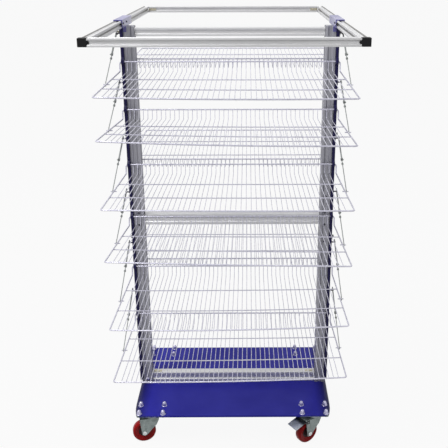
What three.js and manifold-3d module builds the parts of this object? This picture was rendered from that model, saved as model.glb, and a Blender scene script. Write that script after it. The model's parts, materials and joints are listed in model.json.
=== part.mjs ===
// Double-sided art drying rack on castors: a blue steel platform carries two aluminium posts,
// hinged wire shelves hang on both faces of the posts, and a tube frame lies on top.
// Millimetres, +Z up, front of the rack towards -Y, origin on the floor under the middle.
import * as THREE from 'three';
import { mergeVertices } from 'three/addons/utils/BufferGeometryUtils.js';
import Module from 'manifold-3d';

const wasm = await Module();
wasm.setup();

// Driving dimensions
const GAP = 0.3;                    // between pieces that touch
const RUN_CLEARANCE = 0.6;          // round a piece that turns or slides

// Castors
const WHEEL_DIAMETER = 75;
const WHEEL_WIDTH = 26;
const AXLE_DIAMETER = 10;
const HUB_RADIUS = 14;
const TYRE_INNER_RADIUS = 26;
const CASTOR_TRAIL = 28;            // swivel axis to axle, seen from above
const CASTOR_HEIGHT = 103;          // floor to the underside of the castor plate
const CASTOR_PLATE = { x: 95, y: 66, thickness: 3 };
const CASTOR_INSET = { x: 57.5, y: 33 };  // swivel axes inside the edges of the platform
const FORK = {
  sheet: 2.5, tail: 14, sideGap: 2, nose: 20, noseDrop: 8, belly: 10, bellyDrop: 30, tailDrop: 12,
  footHalf: 8, footBelowAxle: 11,
};
const SWIVEL_HEAD = { diameter: 44, height: 11 };
const AXLE_NUT = { diameter: 15, thickness: 6 };
const TYRE = { shoulder: 4, shoulderIn: 1, treadIn: 5, recess: 4 };
const PEDAL = {
  thickness: 2, reach: 46, drop: 12, flat: 10, belowCrown: 4, cheek: 6, overhang: 2,
  pinDiameter: 4, pinBelowCrown: 8, pinPastAxle: 8, pinPastCheek: 1,
};
// Which way each castor trails, in degrees from +X
const CASTORS = [
  { name: 'front_left', sx: -1, sy: -1, trails: 193, brake: false },
  { name: 'front_right', sx: 1, sy: -1, trails: 215, brake: true },
  { name: 'rear_left', sx: -1, sy: 1, trails: 20, brake: false },
  { name: 'rear_right', sx: 1, sy: 1, trails: 160, brake: false },
];

// Platform
const PLATFORM = {
  pastPost: 9, y: 436, sheet: 2.5, lip: 6, cornerIn: 18, cornerLength: 80, cornerRound: 5,
  firstBend: 0.2, secondBend: 0.6,
};

// Posts, side plates and the bars between the posts
const POST = { x: 31, y: 43, innerSpan: 561 };
const POST_TOP = 1306.5;
const GROOVE = { mouthShare: 0.54, floorShare: 0.3, depth: 3.5 };  // in posts, bars and tubes
const SIDE_PLATE = { x: 8.7, y: 60, bottomAbovePlatform: 16, topBelowPost: 2 };
const EAR = { wall: 3, rootHalf: 12, flatHalf: 4.6 };  // round each hinge wire
const BAR = { y: 26, z: 33.5 };
const TOP_BAR = { z: 24, belowPostTop: 5 };
const MIDDLE_BAR_HINGE = 2;         // the hinge, from the lowest, that the middle bar is level with

// Top frame
const TUBE = 20;
const FRAME_Y = 1078;
const TUBE_PAST_POST = 12.5;        // outer face of a side tube past the post under it
const END_BLOCK = { x: 21.5, pastTube: 7 };

// Saddle over each post, which holds a side tube, and the wing screw under it
const SADDLE = { y: 170, sheet: 2.5, outerLip: 8, cheekDrop: 16 };
const WING_SCREW = {
  belowPostTop: 19.5, stem: 5, stemLength: 7, collar: 8.4, collarFrom: 5.6, collarTo: 8.6,
  wing: { from: 7.6, length: 8.5, y: 2.6, z: 3.8 }, spread: 48,
};

// Shelves
const SHELF_COUNT = 6;
const LOWEST_HINGE_ABOVE_PLATFORM = 271.8;
const TOP_HINGE_BELOW_POST_TOP = 100.3;
const TOP_PITCH_SHARE = 0.834;      // the top space against the others
const HINGE_Y = 31;                 // hinge wires in front of and behind the middle of the posts
const SIDE_WIRE_PAST_POST = 13.5;   // centre of a side wire past the outer face of the post
const SHELF_REACH = 419;            // hinge wire to front wire
const SHELF_BACK_DROP = 28;         // depth of the bend below the hinge wire
const SHELF_BACK_REACH = 5;         // where the floor of the shelf starts
const SHELF_FRONT_DROP = 10;        // front wire below the hinge wire
// Degrees up at the front, left side and right side, top shelf first
const FRONT_TILTS = [[-2.6, -3.2], [2, 0.2], [0.8, 0.3], [4.4, 2.5], [0.4, 1.8], [1.5, 3.2]];
// The rear face has a shelf at every second height: its number from the top, and its degrees up
const REAR_TILTS = { 1: -1.1, 3: 1, 5: -1.1 };
const FRAME_WIRE = 4.5;
const CROSS_WIRE = 3;
const CROSS_SPACES = 24;
const LONG_WIRE = 3.5;
const LONG_WIRE_REACHES = [134, 285];
const FOOT = { reach: 212, diameter: 3.5, inside: 6, outside: 9, sunk: 0.5 };  // peg that carries a stay

// Stays
const STAY_WIRE = 3;
const PIN_DIAMETER = 4;
const PIN_ABOVE_HINGE = 81;
const PIN_Y = 27;
const STAY_TIP_GAP = 1.5;           // from a side wire to the stay beside it
const SLOT_SHARE = 0.44;            // part of the stay that is a long eye round the pin
const SLOT_PAST_PIN = 0.6;          // straight part of the long eye past the pin, in half widths

// Materials
const aluminium = new THREE.MeshStandardMaterial({ color: 0xc4c6cb, roughness: 0.35, metalness: 0.9 });
const blueSteel = new THREE.MeshStandardMaterial({ color: 0x34338c, roughness: 0.4, metalness: 0.1 });
const zinc = new THREE.MeshStandardMaterial({ color: 0x98a09c, roughness: 0.35, metalness: 0.9 });
const wireZinc = new THREE.MeshStandardMaterial({ color: 0xc8c8d2, roughness: 0.3, metalness: 0.9 });
const redWheel = new THREE.MeshStandardMaterial({ color: 0x8c1014, roughness: 0.35, metalness: 0 });
const brass = new THREE.MeshStandardMaterial({ color: 0x5c563a, roughness: 0.4, metalness: 0.8 });
const blackPlastic = new THREE.MeshStandardMaterial({ color: 0x141416, roughness: 0.5, metalness: 0 });

// Solids
function solid(geometry) {
  const bare = geometry.index ? geometry.toNonIndexed() : geometry.clone();
  for (const name of Object.keys(bare.attributes)) {
    if (name !== 'position') bare.deleteAttribute(name);
  }
  const merged = mergeVertices(bare, 1e-4);
  return new wasm.Manifold(new wasm.Mesh({
    numProp: 3,
    vertProperties: new Float32Array(merged.attributes.position.array),
    triVerts: new Uint32Array(merged.index.array),
  }));
}

function geometryOf(manifold) {
  const mesh = manifold.getMesh();
  const geometry = new THREE.BufferGeometry();
  geometry.setAttribute('position', new THREE.BufferAttribute(new Float32Array(mesh.vertProperties), 3));
  geometry.setIndex(new THREE.BufferAttribute(new Uint32Array(mesh.triVerts), 1));
  return geometry;
}

function joined(geometries, cuts = []) {
  let body = solid(geometries[0]);
  for (const geometry of geometries.slice(1)) body = body.add(solid(geometry));
  for (const geometry of cuts) body = body.subtract(solid(geometry));
  return geometryOf(body);
}

// A box between two corners
function boxBetween(low, high) {
  const box = new THREE.BoxGeometry(high[0] - low[0], high[1] - low[1], high[2] - low[2]);
  box.translate((low[0] + high[0]) / 2, (low[1] + high[1]) / 2, (low[2] + high[2]) / 2);
  return box;
}

// An outline drawn in X and Y, pulled up along Z
function prism(outline, length, holes = []) {
  const shape = new THREE.Shape(outline.map(([x, y]) => new THREE.Vector2(x, y)));
  for (const hole of holes) {
    shape.holes.push(new THREE.Path(hole.map(([x, y]) => new THREE.Vector2(x, y))));
  }
  return new THREE.ExtrudeGeometry(shape, { depth: length, bevelEnabled: false });
}

// The same, with the outline drawn in Y and Z and pulled along +X
function prismAlongX(outline, length, holes = []) {
  const turn = new THREE.Matrix4().set(0, 0, 1, 0, 1, 0, 0, 0, 0, 1, 0, 0, 0, 0, 0, 1);
  return prism(outline, length, holes).applyMatrix4(turn);
}

// The same, with the outline drawn in Z and X and pulled along +Y
function prismAlongY(outline, length) {
  const turn = new THREE.Matrix4().set(0, 1, 0, 0, 0, 0, 1, 0, 1, 0, 0, 0, 0, 0, 0, 1);
  return prism(outline, length).applyMatrix4(turn);
}

function ring(y, z, radius, sides) {
  return Array.from({ length: sides }, (_, i) => {
    const angle = (2 * Math.PI * (i + 0.5)) / sides;
    return [y + radius * Math.cos(angle), z + radius * Math.sin(angle)];
  });
}

// A round bar along X from x0 to x1
function barAlongX(x0, x1, y, z, diameter, sides = 8) {
  return prismAlongX(ring(y, z, diameter / 2, sides), x1 - x0).translate(x0, 0, 0);
}

// The outline of a strip of one thickness along a bent line
function stripOutline(points, thickness) {
  const half = thickness / 2;
  const sides = [[], []];
  points.forEach((point, i) => {
    const before = points[Math.max(i - 1, 0)];
    const after = points[Math.min(i + 1, points.length - 1)];
    const inward = unit(before === point ? after : point, before === point ? point : before);
    const outward = unit(after === point ? point : after, after === point ? before : point);
    const normal = unitOf([-(inward[1] + outward[1]), inward[0] + outward[0]]);
    const stretch = half / (normal[0] * -inward[1] + normal[1] * inward[0]);
    sides[0].push([point[0] + normal[0] * stretch, point[1] + normal[1] * stretch]);
    sides[1].unshift([point[0] - normal[0] * stretch, point[1] - normal[1] * stretch]);
  });
  return [...sides[0], ...sides[1]];
}

function unit(to, from) {
  return unitOf([to[0] - from[0], to[1] - from[1]]);
}

function unitOf(vector) {
  const length = Math.hypot(vector[0], vector[1]);
  return [vector[0] / length, vector[1] / length];
}

// A rectangle with a splayed groove in the middle of chosen sides
function groovedOutline(x, y, grooveX, grooveY) {
  const points = [];
  const sides = [
    { from: [-x / 2, -y / 2], along: [1, 0], into: [0, 1], length: x, grooved: grooveX },
    { from: [x / 2, -y / 2], along: [0, 1], into: [-1, 0], length: y, grooved: grooveY },
    { from: [x / 2, y / 2], along: [-1, 0], into: [0, -1], length: x, grooved: grooveX },
    { from: [-x / 2, y / 2], along: [0, -1], into: [1, 0], length: y, grooved: grooveY },
  ];
  for (const side of sides) {
    const put = (share, d) => points.push([
      side.from[0] + side.along[0] * side.length * share + side.into[0] * d,
      side.from[1] + side.along[1] * side.length * share + side.into[1] * d,
    ]);
    put(0, 0);
    if (side.grooved) {
      put((1 - GROOVE.mouthShare) / 2, 0);
      put((1 - GROOVE.floorShare) / 2, GROOVE.depth);
      put((1 + GROOVE.floorShare) / 2, GROOVE.depth);
      put((1 + GROOVE.mouthShare) / 2, 0);
    }
  }
  return points;
}

const rack = new THREE.Group();

function addMesh(parent, name, geometry, material) {
  const mesh = new THREE.Mesh(geometry, material);
  mesh.name = name;
  parent.add(mesh);
  return mesh;
}

// Places that follow from the driving dimensions
const plateTop = CASTOR_HEIGHT + CASTOR_PLATE.thickness;
const platformTop = plateTop + PLATFORM.sheet;
const postOuterX = POST.innerSpan / 2 + POST.x;
const platformX = 2 * (postOuterX + PLATFORM.pastPost);
const castorX = platformX / 2 - CASTOR_INSET.x;
const castorY = PLATFORM.y / 2 - CASTOR_INSET.y;
const sidePlateInnerX = postOuterX + GAP;
const sidePlateOuterX = sidePlateInnerX + SIDE_PLATE.x;
const tubeBottom = POST_TOP + GAP;
const tubeTop = tubeBottom + TUBE;
const sideTubeOuterX = postOuterX + TUBE_PAST_POST;
const frameX = 2 * (sideTubeOuterX + END_BLOCK.pastTube);
const shelfX = 2 * (postOuterX + SIDE_WIRE_PAST_POST);
const lowestHinge = platformTop + LOWEST_HINGE_ABOVE_PLATFORM;
const topHinge = POST_TOP - TOP_HINGE_BELOW_POST_TOP;
const hingePitch = (topHinge - lowestHinge) / (SHELF_COUNT - 2 + TOP_PITCH_SHARE);
const hingeHeights = Array.from({ length: SHELF_COUNT }, (_, i) => (
  i === SHELF_COUNT - 1 ? topHinge : lowestHinge + hingePitch * i));
const numberAt = (i) => SHELF_COUNT - i;
const frontHinges = hingeHeights;
const rearHinges = hingeHeights.filter((_, i) => numberAt(i) in REAR_TILTS);

// Platform: a pressed sheet with a short lip, drawn in slightly at its corners, on four castor plates
function platformOutline(inset) {
  const x = platformX / 2 - inset;
  const y = PLATFORM.y / 2 - inset;
  const shoulder = y - PLATFORM.cornerLength;
  const quarter = [
    [x, shoulder],
    [x - PLATFORM.cornerIn * PLATFORM.firstBend, shoulder + PLATFORM.cornerLength / 2],
    [x - PLATFORM.cornerIn * PLATFORM.secondBend, y - PLATFORM.cornerRound],
    [x - PLATFORM.cornerIn, y],
  ];
  const flip = (points, sx, sy) => points.map(([px, py]) => [px * sx, py * sy]);
  return [
    ...quarter,
    ...flip(quarter, -1, 1).reverse(),
    ...flip(quarter, -1, -1),
    ...flip(quarter, 1, -1).reverse(),
  ];
}

function platform() {
  const shell = prism(platformOutline(0), PLATFORM.lip).translate(0, 0, platformTop - PLATFORM.lip);
  const hollow = prism(platformOutline(PLATFORM.sheet), PLATFORM.lip)
    .translate(0, 0, platformTop - PLATFORM.sheet - PLATFORM.lip);
  let body = solid(shell).subtract(solid(hollow));
  for (const castor of CASTORS) {
    const x = castor.sx * castorX;
    const y = castor.sy * castorY;
    const low = [x - CASTOR_PLATE.x / 2, y - CASTOR_PLATE.y / 2, CASTOR_HEIGHT];
    const high = [x + CASTOR_PLATE.x / 2, y + CASTOR_PLATE.y / 2, plateTop + PLATFORM.sheet / 2];
    body = body.add(solid(boxBetween(low, high)));
  }
  return geometryOf(body);
}
addMesh(rack, 'base_platform', platform(), blueSteel);

// Posts and the bars between them
const postOutline = groovedOutline(POST.x, POST.y, true, true);
const postBottom = platformTop + GAP;
for (const [side, sx] of [['left', -1], ['right', 1]]) {
  const post = prism(postOutline, POST_TOP - postBottom);
  addMesh(rack, `${side}_post`, post, aluminium)
    .position.set(sx * (postOuterX - POST.x / 2), 0, postBottom);
}

const barLength = POST.innerSpan - 2 * GAP;
const bars = [
  { name: 'top_bar', z: TOP_BAR.z, top: POST_TOP - TOP_BAR.belowPostTop },
  { name: 'middle_bar', z: BAR.z, top: hingeHeights[MIDDLE_BAR_HINGE] },
  { name: 'base_bar', z: BAR.z, top: postBottom + BAR.z },
];
for (const bar of bars) {
  addMesh(rack, bar.name, prismAlongX(groovedOutline(BAR.y, bar.z, false, true), barLength), aluminium)
    .position.set(-barLength / 2, 0, bar.top - bar.z / 2);
}

// Top frame: a front tube with black end blocks, two side tubes and a rear tube between them
const tubeOutline = groovedOutline(TUBE, TUBE, true, true);
const tubeMiddle = tubeBottom + TUBE / 2;
const frontTubeLength = frameX - 2 * END_BLOCK.x - 2 * GAP;
const rearTubeLength = 2 * (sideTubeOuterX - TUBE - GAP);
const sideTubeLength = FRAME_Y - TUBE - GAP;
const tubeRowY = FRAME_Y / 2 - TUBE / 2;
addMesh(rack, 'frame_front_tube', prismAlongX(tubeOutline, frontTubeLength), aluminium)
  .position.set(-frontTubeLength / 2, -tubeRowY, tubeMiddle);
addMesh(rack, 'frame_rear_tube', prismAlongX(tubeOutline, rearTubeLength), aluminium)
  .position.set(-rearTubeLength / 2, tubeRowY, tubeMiddle);
for (const [side, sx] of [['left', -1], ['right', 1]]) {
  const x = sx * (sideTubeOuterX - TUBE / 2);
  addMesh(rack, `frame_${side}_tube`, prismAlongY(tubeOutline, sideTubeLength), aluminium)
    .position.set(x, FRAME_Y / 2 - sideTubeLength, tubeMiddle);
  addMesh(rack, `${side}_end_block`, new THREE.BoxGeometry(END_BLOCK.x, TUBE, TUBE), blackPlastic)
    .position.set(sx * (frameX / 2 - END_BLOCK.x / 2), -tubeRowY, tubeMiddle);
}

// Side plates: a blue strip on each post with an ear round every hinge wire, and the stay pins
const hingeHole = FRAME_WIRE / Math.SQRT2 + RUN_CLEARANCE;
const stayPlaneX = shelfX / 2 + FRAME_WIRE / 2 + STAY_TIP_GAP + STAY_WIRE / 2;
const pinTipX = stayPlaneX + STAY_WIRE / 2 + STAY_TIP_GAP;

// Near is the side towards -Y, and far the side towards +Y
function sidePlateOutline(near, far) {
  const y = SIDE_PLATE.y / 2;
  const bottom = platformTop + SIDE_PLATE.bottomAbovePlatform;
  const top = POST_TOP - SIDE_PLATE.topBelowPost;
  const earReach = HINGE_Y + hingeHole + EAR.wall;
  const ears = (heights, sy) => heights.flatMap((z) => [
    [sy * y, z - EAR.rootHalf], [sy * earReach, z - EAR.flatHalf],
    [sy * earReach, z + EAR.flatHalf], [sy * y, z + EAR.rootHalf],
  ]);
  return [[-y, bottom], [y, bottom], ...ears(far, 1), [y, top], [-y, top], ...ears(near, -1).reverse()];
}

function sidePlate(near, far) {
  const places = [...near.map((z) => [-1, z]), ...far.map((z) => [1, z])];
  const holes = places.map(([sy, z]) => ring(sy * HINGE_Y, z, hingeHole, 8));
  const strip = prismAlongX(sidePlateOutline(near, far), SIDE_PLATE.x, holes)
    .translate(sidePlateInnerX, 0, 0);
  const pins = places.map(([sy, z]) => barAlongX(
    sidePlateOuterX - SIDE_PLATE.x / 2, pinTipX, sy * PIN_Y, z + PIN_ABOVE_HINGE, PIN_DIAMETER, 6));
  return joined([strip, ...pins]);
}
addMesh(rack, 'right_side_plate', sidePlate(frontHinges, rearHinges), blueSteel);
addMesh(rack, 'left_side_plate', sidePlate(rearHinges, frontHinges), blueSteel).rotation.z = Math.PI;

// Saddles: a bent sheet over each side tube, with cheeks beside the post
function saddle() {
  const half = SADDLE.y / 2;
  const outerX = sideTubeOuterX + GAP;
  const innerX = sideTubeOuterX - TUBE - GAP;
  const legX = innerX - SADDLE.sheet;
  const roof = tubeTop + GAP;
  const crown = roof + SADDLE.sheet;
  const cheekY = POST.y / 2 + GAP;
  const cheekBottom = POST_TOP - SADDLE.cheekDrop;
  const plates = [
    boxBetween([legX, -half, roof], [outerX + SADDLE.sheet, half, crown]),
    boxBetween([outerX, -half, crown - SADDLE.outerLip], [outerX + SADDLE.sheet, half, crown]),
    boxBetween([legX, -half, tubeBottom], [innerX, half, crown]),
  ];
  for (const y of [-cheekY - SADDLE.sheet, cheekY]) {
    plates.push(
      boxBetween([legX, y, cheekBottom], [postOuterX, y + SADDLE.sheet, POST_TOP]),
      boxBetween([legX, y, cheekBottom], [innerX, y + SADDLE.sheet, crown]),
    );
  }
  return joined(plates);
}

// A wing screw along +X: a stem, a collar and two wings spread up and down
function wingScrew() {
  const { wing } = WING_SCREW;
  const spread = THREE.MathUtils.degToRad(WING_SCREW.spread);
  const wings = [-spread, spread].map((angle) => new THREE.BoxGeometry(wing.length, wing.y, wing.z)
    .translate(wing.length / 2, 0, 0).rotateY(angle).translate(wing.from, 0, 0));
  return joined([
    barAlongX(0, WING_SCREW.stemLength, 0, 0, WING_SCREW.stem),
    barAlongX(WING_SCREW.collarFrom, WING_SCREW.collarTo, 0, 0, WING_SCREW.collar),
    ...wings,
  ]);
}

const saddleGeometry = saddle();
const wingScrewGeometry = wingScrew();
for (const [side, sx, turn] of [['left', -1, Math.PI], ['right', 1, 0]]) {
  addMesh(rack, `${side}_saddle`, saddleGeometry, blueSteel).rotation.z = turn;
  const screw = addMesh(rack, `${side}_wing_screw`, wingScrewGeometry, brass);
  screw.position.set(sx * (sidePlateOuterX + GAP), 0, POST_TOP - WING_SCREW.belowPostTop);
  screw.rotation.z = turn;
}

// Shelves: bent cross wires between a hinge wire and a front wire, with two long wires underneath
// that join the side wires. Drawn with the hinge at the origin and the front towards -Y.
const floorRise = (SHELF_BACK_DROP - SHELF_FRONT_DROP) / (SHELF_REACH - SHELF_BACK_REACH);
const shelfLine = [
  [0, 0],
  [-SHELF_BACK_REACH, -SHELF_BACK_DROP],
  [-SHELF_REACH, -SHELF_FRONT_DROP],
];
const floorHeight = (reach) => -SHELF_BACK_DROP + (reach - SHELF_BACK_REACH) * floorRise;
const longWireDrop = CROSS_WIRE / 2 + GAP + LONG_WIRE / 2;
const footHeight = floorHeight(FOOT.reach) - (FRAME_WIRE + FOOT.diameter) / 2 + FOOT.sunk;

// A wire from side to side, with its right end lifted by a slope
function wireAcross(wire, reach, height, slope) {
  return wire.rotateY(-Math.atan(slope * reach)).translate(0, -reach, height);
}

// A bent wire from back to front at x, turned about the hinge
function wireAlong(x, thickness, turn) {
  const wire = prismAlongX(stripOutline(shelfLine, thickness), thickness);
  return wire.translate(x - thickness / 2, 0, 0).rotateX(-turn);
}

// Twist is how many degrees the right side stands above the middle of the shelf
function shelf(twist) {
  const half = shelfX / 2;
  const end = half + FRAME_WIRE / 2;
  const slope = Math.tan(THREE.MathUtils.degToRad(twist)) / half;
  const turnAt = (x) => THREE.MathUtils.degToRad(twist) * (x / half);
  const square = (thickness) => new THREE.BoxGeometry(2 * end, thickness, thickness);
  const pieces = [
    wireAcross(square(FRAME_WIRE), 0, 0, slope),
    wireAcross(square(FRAME_WIRE), SHELF_REACH, -SHELF_FRONT_DROP, slope),
    wireAlong(-half, FRAME_WIRE, turnAt(-half)),
    wireAlong(half, FRAME_WIRE, turnAt(half)),
  ];
  for (let i = 1; i < CROSS_SPACES; i += 1) {
    const x = -half + (shelfX * i) / CROSS_SPACES;
    pieces.push(wireAlong(x, CROSS_WIRE, turnAt(x)));
  }
  for (const reach of LONG_WIRE_REACHES) {
    const wire = barAlongX(-end, end, 0, 0, LONG_WIRE, 6);
    pieces.push(wireAcross(wire, reach, floorHeight(reach) - longWireDrop, slope));
  }
  for (const sx of [-1, 1]) {
    const ends = [sx * (half - FOOT.inside), sx * (end + FOOT.outside)];
    const peg = barAlongX(Math.min(...ends), Math.max(...ends), -FOOT.reach, footHeight, FOOT.diameter);
    pieces.push(peg.rotateX(-turnAt(sx * half)));
  }
  return joined(pieces);
}

// Stays: one wire with an eye on the shelf's peg and a long eye that slides on the pin.
// The lowest of the shelves holds its pin at the end of the long eye.
function stayPlace(tilt) {
  const angle = THREE.MathUtils.degToRad(tilt);
  const reach = FOOT.reach * Math.cos(angle) - footHeight * Math.sin(angle);
  const height = FOOT.reach * Math.sin(angle) + footHeight * Math.cos(angle);
  const run = reach + HINGE_Y - PIN_Y;
  const rise = PIN_ABOVE_HINGE - height;
  return { reach, height, length: Math.hypot(run, rise), angle: Math.atan2(rise, run) };
}
const stayLength = Math.max(...FRONT_TILTS.flat().map((tilt) => stayPlace(tilt).length));

function stay() {
  const half = STAY_WIRE / 2;
  const eyeInner = FOOT.diameter / 2 + RUN_CLEARANCE;
  const slotHalf = PIN_DIAMETER / 2 + RUN_CLEARANCE;
  const slotStart = stayLength * (1 - SLOT_SHARE);
  const slotEnd = stayLength + slotHalf * SLOT_PAST_PIN;
  const outerHalf = slotHalf + STAY_WIRE;
  const body = [
    [eyeInner, half], [slotStart - STAY_WIRE, half], [slotStart, outerHalf], [slotEnd, outerHalf],
    [slotEnd + outerHalf, 0], [slotEnd, -outerHalf],
    [slotStart, -outerHalf], [slotStart - STAY_WIRE, -half], [eyeInner, -half],
  ];
  const slot = [
    [slotStart + STAY_WIRE, slotHalf], [slotStart + STAY_WIRE, -slotHalf], [slotEnd, -slotHalf],
    [slotEnd + slotHalf, 0], [slotEnd, slotHalf],
  ];
  const eye = prismAlongX(ring(0, 0, eyeInner + STAY_WIRE, 8), STAY_WIRE);
  const bore = prismAlongX(ring(0, 0, eyeInner, 8), STAY_WIRE * 3).translate(-STAY_WIRE, 0, 0);
  return joined([prismAlongX(body, STAY_WIRE, [slot]), eye], [bore]).translate(-half, 0, 0);
}

const stayGeometry = stay();
for (const [face, turn] of [['front', 0], ['rear', Math.PI]]) {
  hingeHeights.forEach((height, i) => {
    const number = numberAt(i);
    const rearTilt = REAR_TILTS[number];
    if (turn && rearTilt === undefined) return;
    const [left, right] = turn ? [rearTilt, rearTilt] : FRONT_TILTS[number - 1];
    const middle = (left + right) / 2;
    const place = new THREE.Group();
    place.rotation.z = turn;
    place.position.set(0, turn ? HINGE_Y : -HINGE_Y, height);
    rack.add(place);
    addMesh(place, `${face}_shelf_${number}`, shelf(right - middle), wireZinc)
      .rotation.x = -THREE.MathUtils.degToRad(middle);
    for (const [side, tilt, sx] of [['left', left, turn ? 1 : -1], ['right', right, turn ? -1 : 1]]) {
      const held = stayPlace(tilt);
      const mesh = addMesh(place, `${face}_${side}_stay_${number}`, stayGeometry, wireZinc);
      mesh.position.set(sx * stayPlaneX, -held.reach, held.height);
      mesh.rotation.x = held.angle;
    }
  });
}

// Castors: a zinc fork with its swivel head and axle, and a wheel. Drawn with the swivel axis at the
// origin, the floor at z = 0 and the wheel trailing towards +X.
const forkInnerHalf = WHEEL_WIDTH / 2 + FORK.sideGap;
const forkOuterHalf = forkInnerHalf + FORK.sheet;
const forkEnd = CASTOR_TRAIL + FORK.tail;
const wheelRadius = WHEEL_DIAMETER / 2;
const forkCrown = CASTOR_HEIGHT - GAP - SWIVEL_HEAD.height;
const AXLE_SIDES = 12;
const WHEEL_SIDES = 18;

function roundBarAlongY(y0, y1, x, z, diameter, sides) {
  return prismAlongY(ring(z, x, diameter / 2, sides), y1 - y0).translate(0, y0, 0);
}

function fork() {
  const leg = [
    [forkCrown - FORK.noseDrop, -FORK.nose],
    [forkCrown - FORK.bellyDrop, -FORK.belly],
    [wheelRadius - FORK.footHalf, CASTOR_TRAIL - FORK.footHalf],
    [wheelRadius - FORK.footBelowAxle, CASTOR_TRAIL],
    [wheelRadius - FORK.footHalf, CASTOR_TRAIL + FORK.footHalf],
    [forkCrown - FORK.tailDrop, forkEnd],
    [forkCrown, forkEnd],
    [forkCrown, -FORK.nose],
  ];
  const legs = [-forkOuterHalf, forkInnerHalf].map((y) => prismAlongY(leg, FORK.sheet).translate(0, y, 0));
  const crownPlate = boxBetween([-FORK.nose, -forkOuterHalf, forkCrown - FORK.sheet],
    [forkEnd, forkOuterHalf, forkCrown]);
  const swivel = prism(ring(0, 0, SWIVEL_HEAD.diameter / 2, 16), SWIVEL_HEAD.height + FORK.sheet)
    .translate(0, 0, forkCrown - FORK.sheet);
  const axle = roundBarAlongY(-forkOuterHalf, forkOuterHalf, CASTOR_TRAIL, wheelRadius, AXLE_DIAMETER,
    AXLE_SIDES);
  const nutReach = FORK.sheet / 2 + AXLE_NUT.thickness;
  const nuts = [-forkOuterHalf - AXLE_NUT.thickness, forkOuterHalf - FORK.sheet / 2].map(
    (y) => roundBarAlongY(y, y + nutReach, CASTOR_TRAIL, wheelRadius, AXLE_NUT.diameter, 6));
  return [crownPlate, swivel, ...legs, axle, ...nuts];
}

function wheel() {
  const half = WHEEL_WIDTH / 2;
  const bore = AXLE_DIAMETER / 2 + RUN_CLEARANCE;
  const side = [
    [bore, half], [HUB_RADIUS, half],
    [HUB_RADIUS, half - TYRE.recess], [TYRE_INNER_RADIUS, half - TYRE.recess],
    [wheelRadius - TYRE.shoulder, half - TYRE.shoulderIn], [wheelRadius, half - TYRE.treadIn],
  ];
  const otherSide = side.map(([r, y]) => [r, -y]);
  const points = [...otherSide, ...side.reverse(), otherSide[0]].map(([r, y]) => new THREE.Vector2(r, y));
  return new THREE.LatheGeometry(points, WHEEL_SIDES);
}

// Brake pedal: a bent plate over the trailing side of the wheel, with two cheeks on a pin through the fork
const pedalPin = { x: CASTOR_TRAIL + PEDAL.pinPastAxle, z: forkCrown - PEDAL.pinBelowCrown };
const cheekInner = forkOuterHalf + GAP;
const cheekOuter = cheekInner + PEDAL.thickness;

function pedalPinBar() {
  const end = cheekOuter + PEDAL.pinPastCheek;
  return roundBarAlongY(-end, end, pedalPin.x, pedalPin.z, PEDAL.pinDiameter, 8);
}

function pedal() {
  const start = forkEnd + RUN_CLEARANCE;
  const top = forkCrown - PEDAL.belowCrown;
  const line = [
    [top, start + PEDAL.thickness / 2], [top, start + PEDAL.flat], [top - PEDAL.drop, start + PEDAL.reach],
  ];
  const half = cheekOuter + PEDAL.overhang;
  const plate = prismAlongY(stripOutline(line, PEDAL.thickness), 2 * half).translate(0, -half, 0);
  const cheek = [
    [top, start + PEDAL.flat], [top + PEDAL.thickness / 2, pedalPin.x - PEDAL.cheek],
    [pedalPin.z - PEDAL.cheek, pedalPin.x - PEDAL.cheek],
    [pedalPin.z - PEDAL.cheek, pedalPin.x + PEDAL.cheek],
  ];
  const cheeks = [-cheekOuter, cheekInner].map((y) => prismAlongY(cheek, PEDAL.thickness).translate(0, y, 0));
  const hole = roundBarAlongY(-half, half, pedalPin.x, pedalPin.z,
    PEDAL.pinDiameter + 2 * RUN_CLEARANCE, 8);
  return joined([plate, ...cheeks], [hole]);
}

const forkGeometry = joined(fork());
const brakedForkGeometry = joined([...fork(), pedalPinBar()]);
const wheelGeometry = wheel();
for (const castor of CASTORS) {
  const place = new THREE.Group();
  place.position.set(castor.sx * castorX, castor.sy * castorY, 0);
  place.rotation.z = THREE.MathUtils.degToRad(castor.trails);
  rack.add(place);
  addMesh(place, `${castor.name}_castor_fork`, castor.brake ? brakedForkGeometry : forkGeometry, zinc);
  addMesh(place, `${castor.name}_castor_wheel`, wheelGeometry, redWheel)
    .position.set(CASTOR_TRAIL, 0, wheelRadius);
  if (castor.brake) addMesh(place, `${castor.name}_brake_pedal`, pedal(), zinc);
}

export default rack;
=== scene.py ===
# %% [markdown]
# # An art drying rack, dressed round its solid model
# The rack is already built as solids: posts, bars, shelves, stays and castors, each in its place and
# each on the body that moves it. Here those solids get their looks. Some keep their own mesh and only
# take a finish. Others, such as the wire shelves, are made again with round wires and real bends.

# %% Load the solid model
import json
import math

import bmesh
import bpy
from mathutils import Matrix, Vector


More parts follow.
